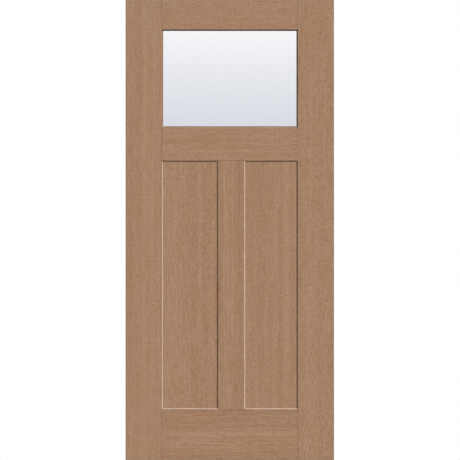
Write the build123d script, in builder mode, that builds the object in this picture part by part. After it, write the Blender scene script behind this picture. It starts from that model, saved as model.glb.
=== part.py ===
"""Glazed fibreglass entrance door: one leaf, as it leaves the works and before it is hung.

Two moulded fibreglass skins with a recessed panel pattern are glued over a perimeter of
timber stiles and rails, and the space between them is filled with foam. A sealed double
glazed unit sits between the skins at the top, held by rims that are moulded into the skins.

The origin is at the foot of the hinge edge, in the middle of the leaf's thickness.
X runs from the hinge edge to the lock edge, Y from the outside to the inside, and Z up.
"""

import os
from math import atan, cos, degrees, sin

from build123d import *

# Driving dimensions of the leaf, in millimetres.
door_width = 908.05
door_height = 2006.6
door_thickness = 44.45

# The pattern moulded into both faces: bands as wide as they look from the front.
stile_face = 157.9
top_rail_face = 129.8
lite_height = 426.8
middle_rail_face = 144.5
bottom_rail_face = 222.4
mullion_face = 113.2
mullion_shift = 5.8  # the mullion stands this far from the middle, towards the lock edge

# The moulded sheet: its wall, the slopes round its panels, and the lines between its bands.
skin_wall = 2.4
skin_edge_round = 1.6
panel_recess = 4.76
panel_slope_run = 5.2
slope_round = 0.6
joint_line_width = 1.3
joint_line_depth = 1.2

# Timber and composite pieces inside the perimeter.
stile_width = 41.3
top_rail_height = 31.75
bottom_rail_height = 44.45
lock_block_width = 95.25
lock_block_height = 406.4
lock_block_middle = 985.0  # height of the block's middle above the foot of the leaf
surround_width = 28.0

# The sealed glass unit and how it is held.
pane_thickness = 3.2
pane_arris = 0.5
air_space = 12.7
spacer_depth = 7.0
spacer_shoulder = 2.0
spacer_bend = 3.0  # inner radius where the bar is bent round a corner
edge_seal_depth = 4.0
glass_bite = 12.0  # how far the glass reaches behind the moulded rim
glass_edge_gap = 3.0  # room between the glass edge and the surround
rim_clearance = 0.5
lite_slope_run = 4.6
glazing_seal = 1.5
glazing_seal_reveal = 1.0  # how far the seal shows past the rim
setting_block_length = 100.0
setting_block_inset = 90.0  # from the end of the glass to the near end of a block

# Places worked out from the driving dimensions.
core_thickness = door_thickness - 2 * skin_wall
unit_thickness = 2 * pane_thickness + air_space
rim_depth = (door_thickness - unit_thickness) / 2 - glazing_seal

lite_top = door_height - top_rail_face
lite_bottom = lite_top - lite_height
lite_middle = (door_width / 2, (lite_top + lite_bottom) / 2)
lite_width = door_width - 2 * stile_face
daylight_width = lite_width - 2 * lite_slope_run
daylight_height = lite_height - 2 * lite_slope_run
glass_width = daylight_width + 2 * glass_bite
glass_height = daylight_height + 2 * glass_bite
glass_bottom = lite_middle[1] - glass_height / 2
pocket_width = glass_width + 2 * glass_edge_gap
pocket_height = glass_height + 2 * glass_edge_gap
surround_height = pocket_height + 2 * surround_width

panel_bottom = bottom_rail_face
panel_top = lite_bottom - middle_rail_face
panel_height = panel_top - panel_bottom
mullion_left = door_width / 2 + mullion_shift - mullion_face / 2
mullion_right = mullion_left + mullion_face
panel_spans = [(stile_face, mullion_left), (mullion_right, door_width - stile_face)]

# The back of a sloping wall lies parallel to its front, one wall away.
panel_slope = atan(panel_slope_run / panel_recess)
lite_slope = atan(lite_slope_run / rim_depth)
dish_growth = skin_wall * (1 - sin(panel_slope)) / cos(panel_slope)


def face_plane(depth):
    """A plane parallel to the outside face, that far below it, looking outwards."""
    return Plane.XZ.offset(door_thickness / 2 - depth)


def middle_plane(thickness):
    """The plane from which an outward extrusion of that thickness straddles the leaf's middle."""
    return Plane.XZ.offset(-thickness / 2)


def panel_middle(span):
    """The middle of a panel, along the width and the height of the leaf."""
    return ((span[0] + span[1]) / 2, (panel_bottom + panel_top) / 2)


def panel_dish(span, growth, floor_depth, mode):
    """A tapered block over one panel, from floor_depth out by the panel's recess.

    With no growth it is the hollow in front of the panel, and with dish_growth it is the
    bulge that the sheet makes behind it.
    """
    floor_width = span[1] - span[0] - 2 * panel_slope_run + 2 * growth
    floor_height = panel_height - 2 * panel_slope_run + 2 * growth
    with BuildSketch(face_plane(floor_depth)) as panel_floor:
        with Locations(panel_middle(span)):
            Rectangle(floor_width, floor_height)
    extrude(panel_floor.sketch, amount=panel_recess, taper=-degrees(panel_slope), mode=mode)


def joint_lines():
    """Middle, width and height of each line between a stile or the mullion and a rail."""
    lines = []
    for low, high in [(0, panel_bottom), (panel_top, lite_bottom), (lite_top, door_height)]:
        for x in (stile_face, door_width - stile_face):
            lines.append(((x, (low + high) / 2), joint_line_width, high - low))
    for z in (panel_bottom, panel_top):
        lines.append((((mullion_left + mullion_right) / 2, z), mullion_face, joint_line_width))
    return lines


# The outside skin: one moulding with dished panels and a rim round the glass.
with BuildPart() as exterior_skin:
    with BuildSketch(face_plane(skin_wall)):
        with Locations((door_width / 2, door_height / 2)):
            Rectangle(door_width, door_height)
    extrude(amount=skin_wall)
    for span in panel_spans:
        panel_dish(span, dish_growth, panel_recess + skin_wall, Mode.ADD)
    with BuildSketch(face_plane(rim_depth)):
        with Locations(lite_middle):
            Rectangle(pocket_width - 2 * rim_clearance, pocket_height - 2 * rim_clearance)
    extrude(amount=rim_depth - skin_wall)
    for span in panel_spans:
        panel_dish(span, 0, panel_recess, Mode.SUBTRACT)
    with BuildSketch(face_plane(rim_depth)):
        with Locations(lite_middle):
            Rectangle(daylight_width, daylight_height)
    extrude(amount=rim_depth, taper=-degrees(lite_slope), mode=Mode.SUBTRACT)
    outside = exterior_skin.faces().sort_by(Axis.Y)[0]
    fillet([edge for wire in outside.inner_wires() for edge in wire.edges()], radius=slope_round)
    outside = exterior_skin.faces().sort_by(Axis.Y)[0]
    fillet(outside.outer_wire().edges(), radius=skin_edge_round)
    for middle, width, height in joint_lines():
        with BuildSketch(face_plane(joint_line_depth)):
            with Locations(middle):
                Rectangle(width, height)
        extrude(amount=joint_line_depth, mode=Mode.SUBTRACT)

# The inside skin: the same moulding turned to face the room.
with BuildPart() as interior_skin:
    mirror(exterior_skin.part, about=Plane.XZ)

# Stiles: full height timber edges that take the hinges and the lock.
with BuildPart() as hinge_stile:
    with BuildSketch():
        with Locations((stile_width / 2, 0)):
            Rectangle(stile_width, core_thickness)
    extrude(amount=door_height)

with BuildPart() as lock_stile:
    with BuildSketch():
        with Locations((door_width - stile_width / 2, 0)):
            Rectangle(stile_width, core_thickness)
    extrude(amount=door_height)

# Rails: they close the ends of the leaf between the stiles.
rail_length = door_width - 2 * stile_width

with BuildPart() as top_rail:
    with BuildSketch(Plane.XY.offset(door_height - top_rail_height)):
        with Locations((door_width / 2, 0)):
            Rectangle(rail_length, core_thickness)
    extrude(amount=top_rail_height)

with BuildPart() as bottom_rail:
    with BuildSketch():
        with Locations((door_width / 2, 0)):
            Rectangle(rail_length, core_thickness)
    extrude(amount=bottom_rail_height)

# Lock block: solid timber beside the lock stile, for a latch and a bolt.
lock_block_centre = (door_width - stile_width - lock_block_width / 2, lock_block_middle)

with BuildPart() as lock_block:
    with BuildSketch(middle_plane(core_thickness)):
        with Locations(lock_block_centre):
            Rectangle(lock_block_width, lock_block_height)
    extrude(amount=core_thickness)

# Glass surround: four bars between the skins that keep the foam from the glass.
with BuildPart() as lite_head:
    with BuildSketch(middle_plane(core_thickness)):
        with Locations((lite_middle[0], lite_middle[1] + (pocket_height + surround_width) / 2)):
            Rectangle(pocket_width, surround_width)
    extrude(amount=core_thickness)

with BuildPart() as lite_sill:
    with BuildSketch(middle_plane(core_thickness)):
        with Locations((lite_middle[0], lite_middle[1] - (pocket_height + surround_width) / 2)):
            Rectangle(pocket_width, surround_width)
    extrude(amount=core_thickness)

with BuildPart() as lite_jamb_hinge_side:
    with BuildSketch(middle_plane(core_thickness)):
        with Locations((lite_middle[0] - (pocket_width + surround_width) / 2, lite_middle[1])):
            Rectangle(surround_width, surround_height)
    extrude(amount=core_thickness)

with BuildPart() as lite_jamb_lock_side:
    with BuildSketch(middle_plane(core_thickness)):
        with Locations((lite_middle[0] + (pocket_width + surround_width) / 2, lite_middle[1])):
            Rectangle(surround_width, surround_height)
    extrude(amount=core_thickness)

# Foam core: fills what the timber leaves, and takes the shape of both skins' dishes.
core_height = door_height - top_rail_height - bottom_rail_height

with BuildPart() as foam_core:
    with BuildSketch(middle_plane(core_thickness)):
        with Locations((door_width / 2, bottom_rail_height + core_height / 2)):
            Rectangle(rail_length, core_height)
        with Locations(lite_middle):
            Rectangle(pocket_width + 2 * surround_width, surround_height, mode=Mode.SUBTRACT)
        with Locations(lock_block_centre):
            Rectangle(lock_block_width, lock_block_height, mode=Mode.SUBTRACT)
    extrude(amount=core_thickness)
    for span in panel_spans:
        panel_dish(span, dish_growth, panel_recess + skin_wall, Mode.SUBTRACT)
    split(bisect_by=Plane.XZ, keep=Keep.TOP)
    mirror(about=Plane.XZ)

# Sealed glass unit: two panes, the spacer between their edges and the seal behind it.
with BuildPart() as exterior_pane:
    with BuildSketch(Plane.XZ.offset(air_space / 2)):
        with Locations(lite_middle):
            Rectangle(glass_width, glass_height)
    extrude(amount=pane_thickness)
    chamfer(exterior_pane.edges(), length=pane_arris)

with BuildPart() as interior_pane:
    mirror(exterior_pane.part, about=Plane.XZ)

spacer_width = glass_width - 2 * edge_seal_depth
spacer_height = glass_height - 2 * edge_seal_depth
spacer_inner_width = spacer_width - 2 * spacer_depth
spacer_inner_height = spacer_height - 2 * spacer_depth

with BuildPart() as spacer_bar:
    with BuildSketch(middle_plane(air_space)):
        with Locations(lite_middle):
            RectangleRounded(spacer_width, spacer_height, spacer_bend + spacer_depth)
    extrude(amount=air_space)
    chamfer(spacer_bar.faces().filter_by(Axis.Y).edges(), length=spacer_shoulder)
    with BuildSketch(middle_plane(air_space)):
        with Locations(lite_middle):
            RectangleRounded(spacer_inner_width, spacer_inner_height, spacer_bend)
    extrude(amount=air_space, mode=Mode.SUBTRACT)

with BuildPart() as edge_seal:
    with BuildSketch(middle_plane(air_space)):
        with Locations(lite_middle):
            Rectangle(glass_width, glass_height)
            RectangleRounded(
                spacer_inner_width,
                spacer_inner_height,
                spacer_bend,
                mode=Mode.SUBTRACT,
            )
    extrude(amount=air_space)
    add(spacer_bar.part, mode=Mode.SUBTRACT)

# Glazing seals: the tape between each moulded rim and the glass.
with BuildPart() as exterior_glazing_seal:
    with BuildSketch(Plane.XZ.offset(unit_thickness / 2)):
        with Locations(lite_middle):
            Rectangle(glass_width - 2 * pane_arris, glass_height - 2 * pane_arris)
            Rectangle(
                daylight_width - 2 * glazing_seal_reveal,
                daylight_height - 2 * glazing_seal_reveal,
                mode=Mode.SUBTRACT,
            )
    extrude(amount=glazing_seal)

with BuildPart() as interior_glazing_seal:
    mirror(exterior_glazing_seal.part, about=Plane.XZ)

# Setting blocks: two rubber pads that carry the glass on the sill of its surround.
setting_block_reach = glass_width / 2 - setting_block_inset - setting_block_length / 2
setting_block_height = glass_bottom - glass_edge_gap / 2

with BuildPart() as setting_block_hinge_side:
    with BuildSketch(middle_plane(unit_thickness)):
        with Locations((lite_middle[0] - setting_block_reach, setting_block_height)):
            Rectangle(setting_block_length, glass_edge_gap)
    extrude(amount=unit_thickness)

with BuildPart() as setting_block_lock_side:
    with BuildSketch(middle_plane(unit_thickness)):
        with Locations((lite_middle[0] + setting_block_reach, setting_block_height)):
            Rectangle(setting_block_length, glass_edge_gap)
    extrude(amount=unit_thickness)

# Every piece gets its name and its own file.
pieces = {
    "exterior_skin": exterior_skin,
    "interior_skin": interior_skin,
    "hinge_stile": hinge_stile,
    "lock_stile": lock_stile,
    "top_rail": top_rail,
    "bottom_rail": bottom_rail,
    "lock_block": lock_block,
    "lite_head": lite_head,
    "lite_sill": lite_sill,
    "lite_jamb_hinge_side": lite_jamb_hinge_side,
    "lite_jamb_lock_side": lite_jamb_lock_side,
    "foam_core": foam_core,
    "exterior_pane": exterior_pane,
    "interior_pane": interior_pane,
    "spacer_bar": spacer_bar,
    "edge_seal": edge_seal,
    "exterior_glazing_seal": exterior_glazing_seal,
    "interior_glazing_seal": interior_glazing_seal,
    "setting_block_hinge_side": setting_block_hinge_side,
    "setting_block_lock_side": setting_block_lock_side,
}

os.makedirs("parts", exist_ok=True)
for name, piece in pieces.items():
    piece.part.label = name
    export_step(piece.part, f"parts/{name}.step")
    print(name, round(piece.part.volume / 1000, 2), "cm3")
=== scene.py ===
# %% [markdown]
# # A glazed fiberglass entrance door
# This lesson dresses a door leaf that is already built to size. Its parts come in as a
# fixed frame: two moulded skins, the timber between them, and a sealed glass unit. The
# shapes are done, so the lesson is about finishes: a stained wood grain that was moulded
# into plastic, laminated timber on the edges, clear glass, and light that shows the
# narrow slopes round the panels.

# %% Load the frame
from math import pi, radians

import bmesh
import bpy
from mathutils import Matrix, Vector


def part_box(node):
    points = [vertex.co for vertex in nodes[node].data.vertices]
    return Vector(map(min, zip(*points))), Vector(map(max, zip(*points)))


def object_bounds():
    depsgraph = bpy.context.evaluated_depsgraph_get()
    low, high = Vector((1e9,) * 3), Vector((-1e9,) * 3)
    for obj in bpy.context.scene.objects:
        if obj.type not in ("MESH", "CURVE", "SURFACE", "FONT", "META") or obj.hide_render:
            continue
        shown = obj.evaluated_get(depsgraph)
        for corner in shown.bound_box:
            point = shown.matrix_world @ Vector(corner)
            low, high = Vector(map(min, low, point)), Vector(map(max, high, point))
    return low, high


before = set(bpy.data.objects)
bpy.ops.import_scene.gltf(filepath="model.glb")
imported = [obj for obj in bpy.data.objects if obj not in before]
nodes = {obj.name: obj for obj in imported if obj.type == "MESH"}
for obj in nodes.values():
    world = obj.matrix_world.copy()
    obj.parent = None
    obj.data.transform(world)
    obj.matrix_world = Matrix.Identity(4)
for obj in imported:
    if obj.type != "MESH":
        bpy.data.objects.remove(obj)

cad_low, cad_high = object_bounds()
door_width = cad_high.x
door_height = cad_high.z
door_thickness = cad_high.y - cad_low.y
print("door leaf", round(door_width, 4), round(door_height, 4), round(door_thickness, 4), "m")
print("pieces in the frame:", len(nodes))

# %% [markdown]
# ## The camera
# A catalogue picture of a door is taken square on, from far away, so that the stiles stay
# parallel. An orthographic camera would do that too, but it can't be moved round the door
# without cropping it. A very long lens gives nearly the same picture and behaves well from
# every side. The camera stands close to the ground and looks up by under a degree, so that it
# sees the ground edge on and the door stands against plain white. The picture is 460 pixels
# tall and crops the door a little at both ends, so the door is taller than that.

# %% Camera
picture_pixels = 460.0
door_pixels = 460.6
pixels_left = 0.2
lens_mm = 1600.0
sensor_mm = 36.0
camera_height = 0.02
clip_distances = 4.0
face_distance = door_height * lens_mm / sensor_mm * picture_pixels / door_pixels

camera_data = bpy.data.cameras.new("catalogue_camera")
camera_data.lens = lens_mm
camera_data.sensor_width = sensor_mm
camera_data.clip_end = clip_distances * face_distance
camera = bpy.data.objects.new("catalogue_camera", camera_data)
bpy.context.scene.collection.objects.link(camera)
aim_x = door_width / 2 + pixels_left * door_height / door_pixels
face_middle = Vector((aim_x, cad_low.y, door_height / 2))
camera.location = (aim_x, cad_low.y - face_distance, camera_height)
camera.rotation_euler = (face_middle - camera.location).to_track_quat("-Z", "Y").to_euler()
bpy.context.scene.camera = camera
print("camera", round(face_distance, 2), "m in front of the door")

# %% [markdown]
# ## Writing shaders as sums
# Node trees get hard to read when every Math node is made and linked by hand. Here one
# small class stands for a value on a wire: adding or multiplying two of them adds the Math
# node. A second class is the finish that is being written, with one method for all other
# nodes. The same two classes serve the world and every material.

# %% A value on a wire
noise_middle = 0.5


class Wire:
    """The value of one socket, on which Python's operators add Math nodes."""

    def __init__(self, finish, socket):
        self.finish = finish
        self.socket = socket

    def math(self, operation, *values):
        return self.finish.node("ShaderNodeMath", {"operation": operation}, values)

    def __add__(self, other):
        return self.math("ADD", self, other)

    def __radd__(self, other):
        return self.math("ADD", other, self)

    def __sub__(self, other):
        return self.math("SUBTRACT", self, other)

    def __rsub__(self, other):
        return self.math("SUBTRACT", other, self)

    def __mul__(self, other):
        return self.math("MULTIPLY", self, other)

    def __rmul__(self, other):
        return self.math("MULTIPLY", other, self)

    def __truediv__(self, other):
        return self.math("DIVIDE", self, other)

    def __pow__(self, other):
        return self.math("POWER", self, other)

    def __gt__(self, other):
        return self.math("GREATER_THAN", self, other)

    def __lt__(self, other):
        return self.math("LESS_THAN", self, other)

    def __abs__(self):
        return self.math("ABSOLUTE", self)

    def fraction(self):
        return self.math("FRACT", self)

    def whole(self):
        return self.math("FLOOR", self)

    def least(self, other):
        return self.math("MINIMUM", self, other)

    def most(self, other):
        return self.math("MAXIMUM", self, other)

    def swing(self):
        """How far a noise lies above its middle, or below it."""
        return self - noise_middle

    def clipped(self, low, high):
        """0 below low, 1 above high, and an even slope between."""
        return self.finish.node("ShaderNodeMapRange", {}, [self, low, high, 0.0, 1.0])


# %% A finish under way
class Finish:
    """A material or world that is being written, and the one method that adds a node."""

    def __init__(self, owner):
        self.owner = owner
        owner.use_nodes = True
        self.tree = owner.node_tree
        self.tree.nodes.clear()

    def node(self, kind, settings, sockets, output=0):
        made = self.tree.nodes.new(kind)
        for name, value in settings.items():
            setattr(made, name, value)
        pairs = sockets.items() if isinstance(sockets, dict) else enumerate(sockets)
        for key, value in pairs:
            if isinstance(value, Wire):
                self.tree.links.new(value.socket, made.inputs[key])
            else:
                made.inputs[key].default_value = value
        return Wire(self, made.outputs[output]) if made.outputs else None

    def axis(self, letter):
        """One Object coordinate, in metres in the door's own frame."""
        place = self.node("ShaderNodeTexCoord", {}, {}, "Object")
        return self.node("ShaderNodeSeparateXYZ", {}, [place], letter)

    def vector(self, x, y, z):
        return self.node("ShaderNodeCombineXYZ", {}, [x, y, z])

    def noise(self, vector, detail=2.0, roughness=0.5):
        """Cloudy noise about 0.5, with features about one unit across."""
        sockets = {"Vector": vector, "Scale": 1.0, "Detail": detail, "Roughness": roughness}
        return self.node("ShaderNodeTexNoise", {"noise_dimensions": "3D"}, sockets)

    def stretched(self, sizes, detail=2.0, roughness=0.5):
        """Noise with features about that large along X, Y and Z, in metres."""
        place = self.node("ShaderNodeTexCoord", {}, {}, "Object")
        repeats = [1.0 / size for size in sizes]
        spot = self.node("ShaderNodeVectorMath", {"operation": "MULTIPLY"}, [place, repeats])
        return self.noise(spot, detail, roughness)

    def blend(self, factor, first, second):
        """A colour that goes from the first to the second as the factor goes from 0 to 1."""
        mix = {"data_type": "RGBA", "blend_type": "MIX"}
        return self.node("ShaderNodeMix", mix, {0: factor, 6: first, 7: second}, 2)

    def scaled(self, colour, factor):
        """A colour made lighter or darker by a factor."""
        sockets = {0: colour, "Scale": factor}
        return self.node("ShaderNodeVectorMath", {"operation": "SCALE"}, sockets)

    def shaded(self, colour, shares, amount):
        """A colour whose red, green and blue each change by their own share of an amount."""
        change = self.scaled(shares, amount)
        factor = self.node("ShaderNodeVectorMath", {"operation": "ADD"}, [change, (1.0, 1.0, 1.0)])
        return self.node("ShaderNodeVectorMath", {"operation": "MULTIPLY"}, [colour, factor])

    def surface(self, sockets, height=None, depth=0.0):
        """A Principled surface, with a height in units of depth metres as bump."""
        if height is not None:
            relief = {"Strength": 1.0, "Distance": depth, "Height": height}
            sockets = {**sockets, "Normal": self.node("ShaderNodeBump", {}, relief)}
        return self.node("ShaderNodeBsdfPrincipled", {}, sockets)

    def out(self, shader, kind="ShaderNodeOutputMaterial"):
        self.node(kind, {}, {"Surface": shader})
        print("finish", self.owner.name, "nodes", len(self.tree.nodes))
        return self.owner


def colour(red, green, blue):
    """A colour in linear light, as sockets take it."""
    return (red, green, blue, 1.0)


# %% [markdown]
# ## White surroundings
# The door stands in a white room. If that white also lit the door from every side, the
# slopes round the panels would vanish, because they would be as bright as the flat face.
# So rays that show the room, straight on, in a reflection or through the glass, see full
# white, and rays that only carry its light see a dim room. Once a ray has scattered off a
# matt surface it carries light, even if it goes through the glass after that.

# %% World
white = colour(1.0, 1.0, 1.0)
fill_level = 0.23


def shows_room(finish):
    """1 for a ray that shows the room itself, and 0 for one that carries its light."""
    seen = finish.node("ShaderNodeLightPath", {}, {}, "Is Camera Ray")
    for output in ("Is Glossy Ray", "Is Transmission Ray"):
        seen = seen.most(finish.node("ShaderNodeLightPath", {}, {}, output))
    scattered = finish.node("ShaderNodeLightPath", {}, {}, "Diffuse Depth")
    return seen * (scattered < 1.0)


room = Finish(bpy.data.worlds.new("white_room"))
room_level = fill_level + shows_room(room) * (1.0 - fill_level)
room_light = room.node("ShaderNodeBackground", {}, {"Color": white, "Strength": room_level})
bpy.context.scene.world = room.out(room_light, "ShaderNodeOutputWorld")
bpy.context.scene.view_settings.view_transform = "Standard"

# %% [markdown]
# ## Lamps
# In the picture the slopes that face right and up are bright, and those that face left
# and down are dark, so the main light comes from the upper right. Far lamps light the
# whole height evenly. Two of them graze the face from the right and from above, where the
# panel slopes mirror them towards the camera: the clear coat gets a thin pale line there
# and nowhere else. They light gloss alone, so that they don't brighten the paint under it.
# The main lamp, and one behind for the back, light matt paint alone, because rays that meet
# them by chance, through the glass, would only leave bright specks on wood and metal.

# %% Far lamps
def add_far_lamp(name, towards_lamp, level, spread, gloss):
    """A lamp like the sun, for gloss or for matt paint, which level 1 shows as it is written."""
    data = bpy.data.lights.new(name, "SUN")
    data.energy = pi * level
    data.angle = radians(spread)
    lamp = bpy.data.objects.new(name, data)
    lamp.visible_diffuse = not gloss
    lamp.visible_glossy = gloss
    lamp.visible_transmission = gloss
    lamp.rotation_euler = Vector(towards_lamp).to_track_quat("Z", "Y").to_euler()
    bpy.context.scene.collection.objects.link(lamp)
    print("lamp", name, "level", level)


add_far_lamp("front_light", (0.575, -0.590, 0.567), level=1.30, spread=8.0, gloss=False)
add_far_lamp("back_light", (-0.35, 0.88, 0.32), level=0.80, spread=8.0, gloss=False)
add_far_lamp("right_graze", (0.996, -0.089, 0.022), level=0.96, spread=6.0, gloss=True)
add_far_lamp("top_graze", (0.0, -0.067, 0.998), level=1.03, spread=6.0, gloss=True)

# %% [markdown]
# ## The floor
# A plain pale floor carries the door's shadow in the views from above. To the eye it glows
# a little, which keeps that shadow pale, but it throws little light back up, so that the
# slopes that face down stay dark.

# %% Floor
floor_size = 14.0
floor_drop = 0.001
pale_floor = colour(0.42, 0.42, 0.42)
dim_floor = colour(0.22, 0.22, 0.22)
floor_glow = colour(0.55, 0.55, 0.55)
no_glow = colour(0.0, 0.0, 0.0)

floor_mesh = bpy.data.meshes.new("studio_floor")
shape = bmesh.new()
bmesh.ops.create_grid(shape, x_segments=1, y_segments=1, size=floor_size / 2)
bmesh.ops.translate(shape, verts=shape.verts, vec=(door_width / 2, 0.0, -floor_drop))
shape.to_mesh(floor_mesh)
shape.free()
floor = bpy.data.objects.new("studio_floor", floor_mesh)
bpy.context.scene.collection.objects.link(floor)

paint = Finish(bpy.data.materials.new("floor_paint"))
seen = shows_room(paint)
floor_paint = {
    "Base Color": paint.blend(seen, dim_floor, pale_floor),
    "Roughness": 0.9,
    "Emission Color": paint.blend(seen, no_glow, floor_glow),
    "Emission Strength": 1.0,
}
floor_mesh.materials.append(paint.out(paint.surface(floor_paint)))

# %% [markdown]
# ## The bands of the face
# The skin is one moulding, but it is drawn as if it were joined from boards: stiles and a
# mullion with upright grain, rails with level grain, and two panels. The slopes round a
# panel belong to the boards that they are cut from, and meet in a mitre at each corner.
# The material has to know which board a point lies on. It could come from separate meshes
# or vertex colours, but the face is flat and square, so comparisons of X and Z do it.

# %% Band edges
stile_face = 0.1579
top_rail_face = 0.1298
lite_height = 0.4268
middle_rail_face = 0.1445
bottom_rail_face = 0.2224
mullion_face = 0.1132
mullion_shift = 0.0058
slope_run = 0.0052
lite_slope_run = 0.0046

right_stile = door_width - stile_face
lite_top = door_height - top_rail_face
lite_bottom = lite_top - lite_height
panel_top = lite_bottom - middle_rail_face
mullion_left = door_width / 2 + mullion_shift - mullion_face / 2
mullion_right = mullion_left + mullion_face
print("panels from", round(bottom_rail_face, 4), "to", round(panel_top, 4), "m")


# %% How far a point lies inside a panel or the glass
def panel_gaps(finish):
    """The distance to a panel's nearer side and to its nearer end, less than 0 outside it."""
    x = finish.axis("X")
    z = finish.axis("Z")
    left_panel = (x - stile_face).least(mullion_left - x)
    right_panel = (x - mullion_right).least(right_stile - x)
    return left_panel.most(right_panel), (z - bottom_rail_face).least(panel_top - z)


def lite_gaps(finish):
    """The distance to the nearer side and to the nearer end of the opening for the glass."""
    x = finish.axis("X")
    z = finish.axis("Z")
    return (x - stile_face).least(right_stile - x), (z - lite_bottom).least(lite_top - z)


# %% Which board a point lies on
first_rail = 5.0
inside_boards = 8.0


def find_board(finish):
    """The number of the board at a point, and the point's place across and along its grain."""
    x = finish.axis("X")
    z = finish.axis("Z")
    panel_side, panel_end = panel_gaps(finish)
    lite_side, lite_end = lite_gaps(finish)
    rail_slope = (panel_end > 0.0) * (panel_end < slope_run) * (panel_end < panel_side)
    stile_slope = (lite_side > 0.0) * (lite_side < lite_end)
    rail = (lite_side > 0.0) * (panel_end < 0.0) * (1.0 - stile_slope) + rail_slope

    upright = (x > stile_face + slope_run) + (x > mullion_left - slope_run)
    upright = upright + (x > mullion_right + slope_run) + (x > right_stile - slope_run)
    level = first_rail + (z > door_height / 2) + (z > lite_top - slope_run)
    inside = inside_boards * (finish.axis("Y") > 0.0)
    board = upright + rail * (level - upright) + inside
    across = x + rail * (z - x)
    along = z + rail * (x - z)
    return board, across, along


# %% [markdown]
# ## Stained wood grain, moulded
# The mould for such a skin is cut from straight-grained fir: growth lines a few
# millimetres apart, which wander slowly along the board, in lighter and darker strips that
# run its whole length. A stain is wiped over the moulding and stays in short ticks of the
# grain, which lie in loose clusters. An image would show one board again and again. Noise
# that is stretched along the grain never repeats and stays sharp up close. Every size
# below is in metres, across the grain and then along it.

# %% Noise along a board
board_step = 3.7
drift_reach = 0.03


def along_grain(finish, place, width, length, layer, detail=2.0):
    """Noise on a board, with features about that wide and long. Layers don't resemble."""
    board, across, along = place
    depth = board * board_step + layer
    return finish.noise(finish.vector(across / width, along / length, depth), detail)


def wander(finish, place):
    """The same place with a board's slow drift, so that lines aren't ruled."""
    board, across, along = place
    drift = along_grain(finish, place, width=0.20, length=0.90, layer=100.0, detail=1.0)
    return board, across + drift.swing() * drift_reach, along


# %% Growth lines
growth_pitch = 0.003
pace_turns = 6.0
growth_sharpness = 4.0
faintest_line = 0.25
fullest_line = 0.75


def fir_growth(finish, place):
    """Growth lines: each fades in slowly across the board and ends sharply."""
    across = place[1]
    pace = along_grain(finish, place, width=0.040, length=2.5, layer=200.0)
    turn = (across / growth_pitch + pace * pace_turns).fraction()
    strength = along_grain(finish, place, width=0.013, length=0.40, layer=300.0)
    return turn**growth_sharpness * strength.clipped(faintest_line, fullest_line)


# %% [markdown]
# ## Stain, painted shade and coat on the slopes
# The cloth that wipes the face can't reach the foot of a slope, so some stain stays there, and
# most of it on the steep rim beside the glass. Some also dries on the rounded outer edges. This
# darkening is partly that stain and partly painted shade at the foot of the slopes, on the rim and
# on the outer edges. The clear coat runs off that rim and those edges and leaves them bare. Dark
# paint could be a mesh of its own. The distance from an edge is known already, so it gives the
# amounts of both.

# %% Stain, painted shade and coat on the slopes
# Partly stain and partly painted shade: how much darker the foot of a panel slope, the rim and the
# rounded outer edges are.
panel_foot_stain_and_shade = 0.22
rim_stain_and_shade = 0.31
edge_stain_and_shade = 0.28
edge_round = 0.0016
foot_end = 1.2 * slope_run
coat_runs_out = 0.2


def down_the_rim(finish):
    """0 on the face and 1 at the glass, across the slope of the rim that holds it."""
    lite_side, lite_end = lite_gaps(finish)
    return lite_side.least(lite_end).clipped(0.0, lite_slope_run)


def outer_edge(finish):
    """1 on the rounded outer edges of the leaf, and 0 on its face."""
    x = finish.axis("X")
    z = finish.axis("Z")
    gap = x.least(door_width - x).least(z).least(door_height - z)
    return 1.0 - gap.clipped(edge_round, 2.0 * edge_round)


def bare_of_coat(finish):
    """1 where the coat has run off, on the rim and on the outer edges, and 0 on the face."""
    return down_the_rim(finish).clipped(0.0, coat_runs_out).most(outer_edge(finish))


def stain_and_painted_shade(finish):
    """Stain that the cloth leaves on slopes and outer edges, with painted shade there too, and
    none on face and panel.
    """
    panel_side, panel_end = panel_gaps(finish)
    gap = panel_side.least(panel_end)
    past_foot = gap.clipped(slope_run, foot_end)
    # Stain and painted shade together, fading in down each panel slope and ending just past its
    # foot.
    panel_stain_and_shade = gap.clipped(-slope_run, slope_run) * (1.0 - past_foot)
    slope_stain_and_shade = panel_stain_and_shade * panel_foot_stain_and_shade + down_the_rim(finish) * rim_stain_and_shade
    return slope_stain_and_shade + outer_edge(finish) * edge_stain_and_shade


# %% [markdown]
# ## The moulded skins
# Each layer of the grain is a noise about 0.5, and what it adds to the tone is small and
# counted up and down from there, so the mean colour stays as written. Some boards are
# striped and some are plain, by one random number for each board. Thick stain takes away
# more blue than red, so the dark grain is also the warmer one. The clear coat is weak and
# satin: it shows on the slopes that mirror a lamp, and hardly on the face.

# %% Layers of the grain
board_seed = 47417.0
fleck_repels_ticks = -0.30
tick_starts = 0.58
tick_full = 0.72

skin = Finish(bpy.data.materials.new("stained_fir_moulding"))
place = wander(skin, find_board(skin))
growth = fir_growth(skin, place)
strips = along_grain(skin, place, width=0.0055, length=4.00, layer=400.0, detail=1.0)
broad = along_grain(skin, place, width=0.030, length=4.00, layer=500.0)
streaks = along_grain(skin, place, width=0.0046, length=0.055, layer=550.0, detail=1.0)
flecks = along_grain(skin, place, width=0.0042, length=0.0115, layer=600.0, detail=1.0)
hue = along_grain(skin, place, width=0.030, length=0.25, layer=700.0, detail=1.0)
fine = along_grain(skin, place, width=0.0007, length=0.022, layer=800.0)
ticks = (fine + flecks.swing() * fleck_repels_ticks).clipped(tick_starts, tick_full)
board_number = {"W": place[0] + board_seed}
striped = skin.node("ShaderNodeTexWhiteNoise", {"noise_dimensions": "1D"}, board_number)
print("grain layers so far take", len(skin.tree.nodes), "nodes")

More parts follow.
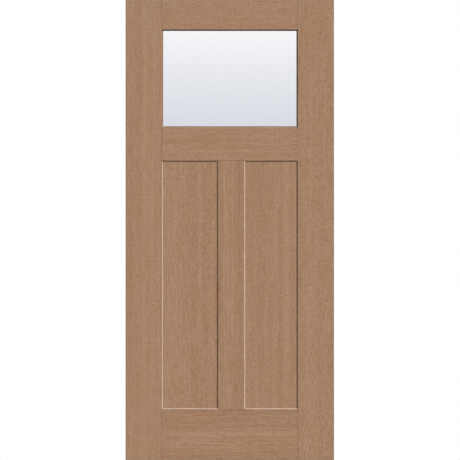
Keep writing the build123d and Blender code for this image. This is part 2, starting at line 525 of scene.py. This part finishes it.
# %% Colour of the skin
early_wood = colour(0.381, 0.2325, 0.1432)
late_wood = colour(0.243, 0.1345, 0.0765)
red_stain = colour(0.354, 0.2005, 0.1192)
stain_shares = (1.0, 1.36, 1.60)
late_share = 0.65
red_share = 0.7
red_starts = 0.35
red_full = 0.75
fleck_tone = 0.48
fleck_tone_lost = 0.15
streak_tone = 0.31
tick_tone = 0.20
strip_tone = 0.20
broad_tone = 0.40
plain_board = 0.38
striped_board = 0.45

wood = skin.blend(growth * late_share, early_wood, late_wood)
wood = skin.blend(hue.clipped(red_starts, red_full) * red_share, wood, red_stain)
fleck_strength = fleck_tone - striped * fleck_tone_lost
short_tone = flecks.swing() * fleck_strength + streaks.swing() * streak_tone
short_tone = short_tone - ticks * tick_tone
long_tone = strips.swing() * strip_tone + broad.swing() * broad_tone
tone = short_tone + long_tone * (striped * striped_board + plain_board)
stained_wood = skin.shaded(wood, stain_shares, tone)
# Painted shade: the slopes, the rim and the outer edges are darkened here, together with the
# stain.
skin_colour = skin.scaled(stained_wood, 1.0 - stain_and_painted_shade(skin))
print("with its colour, the skin takes", len(skin.tree.nodes), "nodes")

# %% Skin finish
coat_weight = 0.20
satin = 0.50
tick_roughness = 0.18
growth_roughness = 0.06
skin_relief = 0.00012
growth_height = -0.4
fleck_height = 0.3

skin_height = growth * growth_height - ticks + flecks * fleck_height
skin_paint = {
    "Base Color": skin_colour,
    "Roughness": satin + ticks * tick_roughness + growth * growth_roughness,
    "Specular IOR Level": 0.0,
    "Coat Weight": coat_weight - bare_of_coat(skin) * coat_weight,
    "Coat Roughness": 0.35,
}
moulded_skin = skin.out(skin.surface(skin_paint, skin_height, skin_relief))

# %% [markdown]
# ## Laminated stiles
# The long edges show the timber between the skins. It is laminated from thin veneers that
# lie parallel to the faces, so the edge shows fine upright stripes, each veneer a little
# different, with a dark glue line between. Veneers as separate slabs would be many pieces
# for a few thin lines, so the stripes come from the Y coordinate.

# %% Laminated timber
veneer = 0.0033
veneer_step = 3.1
glue_line = 0.07
timber_fibre = (0.0014, 0.0011, 0.045)
figure_width = 0.011
figure_length = 0.20
figure_share = 0.6
sheet_share = 0.35
pale_timber = colour(0.58, 0.42, 0.25)
brown_timber = colour(0.41, 0.26, 0.14)

timber = Finish(bpy.data.materials.new("laminated_timber"))
x, y, z = (timber.axis(letter) for letter in "XYZ")
sheet = y / veneer + 0.5
sheet_number = {"W": sheet.whole()}
sheet_tone = timber.node("ShaderNodeTexWhiteNoise", {"noise_dimensions": "1D"}, sheet_number)
glue = sheet.fraction() < glue_line
fibre = timber.stretched(timber_fibre, detail=3.0, roughness=0.6)
figure_place = timber.vector(x / figure_width, sheet.whole() * veneer_step, z / figure_length)
figure = timber.noise(figure_place)
brown_share = figure * figure_share + sheet_tone * sheet_share
lamella = timber.blend(brown_share, pale_timber, brown_timber)
print("veneers across the edge:", round(door_thickness / veneer))

# %% Laminated timber finish
timber_tone = 0.80
timber_fibre_tone = 0.40
glue_tone = 0.35
timber_roughness = 0.62
timber_fibre_roughness = 0.15
dull_gloss = 0.3
timber_relief = 0.0001

lamella_tone = timber_tone + fibre * timber_fibre_tone - glue * glue_tone
timber_paint = {
    "Base Color": timber.scaled(lamella, lamella_tone),
    "Roughness": timber_roughness + fibre * timber_fibre_roughness,
    "Specular IOR Level": dull_gloss,
}
laminated_timber = timber.out(timber.surface(timber_paint, fibre - glue, timber_relief))

# %% [markdown]
# ## Softwood rails
# The top rail is plain softwood with its grain along the width of the door, and so are the
# bars round the glass and the lock block, which stay hidden between the skins. Growth
# rings cut lengthwise are soft bands that fade in and end sharply, as on the skins, but
# wider, and a slow noise bends them.

# %% Softwood
ring_pitch = 0.0063
ring_lean = 0.0167
ring_bends = 5.0
ring_sharpness = 3.0
ring_share = 0.7
pine_tone = 0.86
pine_fibre_tone = 0.28
bend_sizes = (0.50, 0.083, 0.083)
pine_fibre = (0.042, 0.0011, 0.0011)
pine_roughness = 0.60
pine_fibre_roughness = 0.18
pine_relief = 0.00008
pale_pine = colour(0.65, 0.48, 0.29)
brown_pine = colour(0.47, 0.30, 0.155)

softwood = Finish(bpy.data.materials.new("planed_softwood"))
y, z = (softwood.axis(letter) for letter in "YZ")
bend = softwood.stretched(bend_sizes, detail=1.0)
ring = (y / ring_pitch + z / ring_lean + bend * ring_bends).fraction()
fibre = softwood.stretched(pine_fibre, detail=3.0, roughness=0.6)
pine = softwood.blend(ring**ring_sharpness * ring_share, pale_pine, brown_pine)
pine_paint = {
    "Base Color": softwood.scaled(pine, pine_tone + fibre * pine_fibre_tone),
    "Roughness": pine_roughness + fibre * pine_fibre_roughness,
    "Specular IOR Level": dull_gloss,
}
planed_softwood = softwood.out(softwood.surface(pine_paint, fibre, pine_relief))

# %% [markdown]
# ## Composite bottom rail
# The rail at the foot is a rot-proof composite of wood fibre and plastic: a grey-brown
# mass with pale fibres pressed along it. Two noises do it, one for the mass and one,
# stretched and clipped, for the fibres.

# %% Wood fibre composite
mass_sizes = (0.0170, 0.0063, 0.0063)
chip_sizes = (0.0038, 0.0008, 0.0008)
chip_starts = 0.58
chip_full = 0.70
chip_share = 0.7
dark_tone = 0.75
mass_tone = 0.5
composite_roughness = 0.70
mass_roughness = 0.15
chip_relief = 0.00006
dark_mass = colour(0.21, 0.165, 0.12)
pale_chip = colour(0.42, 0.34, 0.25)

composite = Finish(bpy.data.materials.new("fibre_composite"))
mass = composite.stretched(mass_sizes, detail=4.0, roughness=0.6)
chip = composite.stretched(chip_sizes).clipped(chip_starts, chip_full)
pressed = composite.blend(chip * chip_share, dark_mass, pale_chip)
composite_paint = {
    "Base Color": composite.scaled(pressed, dark_tone + mass * mass_tone),
    "Roughness": composite_roughness + mass * mass_roughness,
    "Specular IOR Level": dull_gloss,
}
fibre_composite = composite.out(composite.surface(composite_paint, chip, chip_relief))

# %% [markdown]
# ## Foam core
# The foam is hidden once the skins are glued on. It still gets its fine cells, from a
# Voronoi pattern, so that the part reads well when it is taken apart.

# %% Closed-cell foam
foam_cell = 0.0011
heart_ends = 0.1
wall_starts = 0.7
cell_relief = 0.0002
cell_wall = colour(0.70, 0.58, 0.32)
cell_heart = colour(0.86, 0.76, 0.48)

foam = Finish(bpy.data.materials.new("closed_cell_foam"))
spot = foam.node("ShaderNodeTexCoord", {}, {}, "Object")
cell = foam.node("ShaderNodeTexVoronoi", {}, {"Vector": spot, "Scale": 1.0 / foam_cell})
towards_wall = cell.clipped(heart_ends, wall_starts)
foam_paint = {
    "Base Color": foam.blend(towards_wall, cell_heart, cell_wall),
    "Roughness": 0.85,
    "Specular IOR Level": 0.2,
}
closed_cell_foam = foam.out(foam.surface(foam_paint, towards_wall, cell_relief))

# %% [markdown]
# ## Glass
# Clear glass lets the white room through, but here it is faintly blue and gets a little darker
# towards its foot. The blue is a tint. The darkening is a painted reflection: a gradient with
# height that stands in for the room mirrored in the glass. Each pane carries half of that, as a
# colour that changes with height. Lamps have to reach through the panes, and sharp glass would
# block them, so rays that only test for shade pass through a plain clear shader instead.

# %% Tinted panes with a painted reflection
# Painted reflection: the foot colour is darker than the top, and both carry the glass's faint blue
# tint.
top_tint_and_reflection = colour(0.957, 0.960, 0.968)
foot_tint_and_reflection = colour(0.815, 0.830, 0.865)
clear_tint = colour(0.95, 0.96, 0.96)
ripple_size = 0.33
ripple_depth = 0.02

glass_low, glass_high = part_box("exterior_pane")
glass = Finish(bpy.data.materials.new("clear_glass"))
rise = (glass.axis("Z") - glass_low.z) / (glass_high.z - glass_low.z)
ripple = glass.stretched((ripple_size, ripple_size, ripple_size), detail=1.0)
up_the_pane = (rise + ripple.swing() * ripple_depth).clipped(0.0, 1.0)
# The tint and the painted reflection, mixed by height.
pane_tint_and_reflection = glass.blend(up_the_pane, foot_tint_and_reflection, top_tint_and_reflection)
pane_paint = {"Base Color": pane_tint_and_reflection, "Roughness": 0.0, "IOR": 1.5, "Transmission Weight": 1.0}
pane = glass.surface(pane_paint)
shade_ray = glass.node("ShaderNodeLightPath", {}, {}, "Is Shadow Ray")
clear = glass.node("ShaderNodeBsdfTransparent", {}, {"Color": clear_tint})
clear_glass = glass.out(glass.node("ShaderNodeMixShader", {}, [shade_ray, pane, clear]))

# %% [markdown]
# ## Spacer bar
# The bar that holds the panes apart is thin bright metal, bent at the corners, with a row of tiny
# holes through which the drying agent inside reaches the air. It only shows at an angle through
# the glass. Cut holes would cost thousands of faces, so they are spots without shine, painted dark
# as the shade inside a hole, and they follow whichever way the bar runs.

# %% Perforated spacer
hole_pitch = 0.004
hole_length = 0.35
hole_half_width = 0.0004
hole_height = 3.0
brush_sizes = (0.025, 0.00033, 0.025)
metal_roughness = 0.30
brush_roughness = 0.16
metal_relief = 0.00005
mill_metal = colour(0.62, 0.63, 0.64)
# Painted shade: the colour that stands for the dark inside of each hole.
hole_painted_shade = colour(0.03, 0.03, 0.03)

metal = Finish(bpy.data.materials.new("spacer_metal"))
x, y, z = (metal.axis(letter) for letter in "XYZ")
hole = (abs(y) < hole_half_width) * (((x + z) / hole_pitch).fraction() < hole_length)
brushed = metal.stretched(brush_sizes)
metal_paint = {
    # Painted shade where the holes are.
    "Base Color": metal.blend(hole, mill_metal, hole_painted_shade),
    "Metallic": 1.0 - hole,
    "Roughness": metal_roughness + brushed * brush_roughness,
}
metal_height = brushed - hole * hole_height
spacer_metal = metal.out(metal.surface(metal_paint, metal_height, metal_relief))

# %% [markdown]
# ## Seals
# Black sealant closes the edge of the glass unit, and a dark brown tape lies between the
# glass and the moulded rim. Both are matt, with the slight unevenness of a soft material,
# so one function makes both from two shades each.

# %% Sealant and tape
seal_grain = 0.0014
seal_roughness = 0.70
grit_roughness = 0.2
seal_relief = 0.0001


def soft_seal(name, dark, pale):
    """A matt soft material with a little unevenness in its colour, gloss and surface."""
    seal = Finish(bpy.data.materials.new(name))
    grit = seal.stretched((seal_grain, seal_grain, seal_grain), detail=3.0)
    paint = {
        "Base Color": seal.blend(grit, dark, pale),
        "Roughness": seal_roughness + grit * grit_roughness,
        "Specular IOR Level": dull_gloss,
    }
    return seal.out(seal.surface(paint, grit, seal_relief))


black_sealant = soft_seal("black_sealant", colour(0.02, 0.02, 0.02), colour(0.06, 0.06, 0.06))
brown_tape = soft_seal("brown_tape", colour(0.115, 0.092, 0.073), colour(0.205, 0.165, 0.132))

# %% [markdown]
# ## Dress the pieces
# Every piece of the frame gets its finish in place of the plain colour that it came with.
# The meshes stay exactly as they are.

# %% Give each piece its finish
finishes = {
    "exterior_skin": moulded_skin,
    "interior_skin": moulded_skin,
    "hinge_stile": laminated_timber,
    "lock_stile": laminated_timber,
    "top_rail": planed_softwood,
    "bottom_rail": fibre_composite,
    "lock_block": planed_softwood,
    "lite_head": planed_softwood,
    "lite_sill": planed_softwood,
    "lite_jamb_hinge_side": planed_softwood,
    "lite_jamb_lock_side": planed_softwood,
    "foam_core": closed_cell_foam,
    "exterior_pane": clear_glass,
    "interior_pane": clear_glass,
    "spacer_bar": spacer_metal,
    "edge_seal": black_sealant,
    "exterior_glazing_seal": brown_tape,
    "interior_glazing_seal": brown_tape,
    "setting_block_hinge_side": black_sealant,
    "setting_block_lock_side": black_sealant,
}
for name, piece in nodes.items():
    for slot in piece.material_slots:
        slot.material = finishes[name]
print("dressed", len(nodes), "pieces in", len(set(finishes.values())), "finishes")
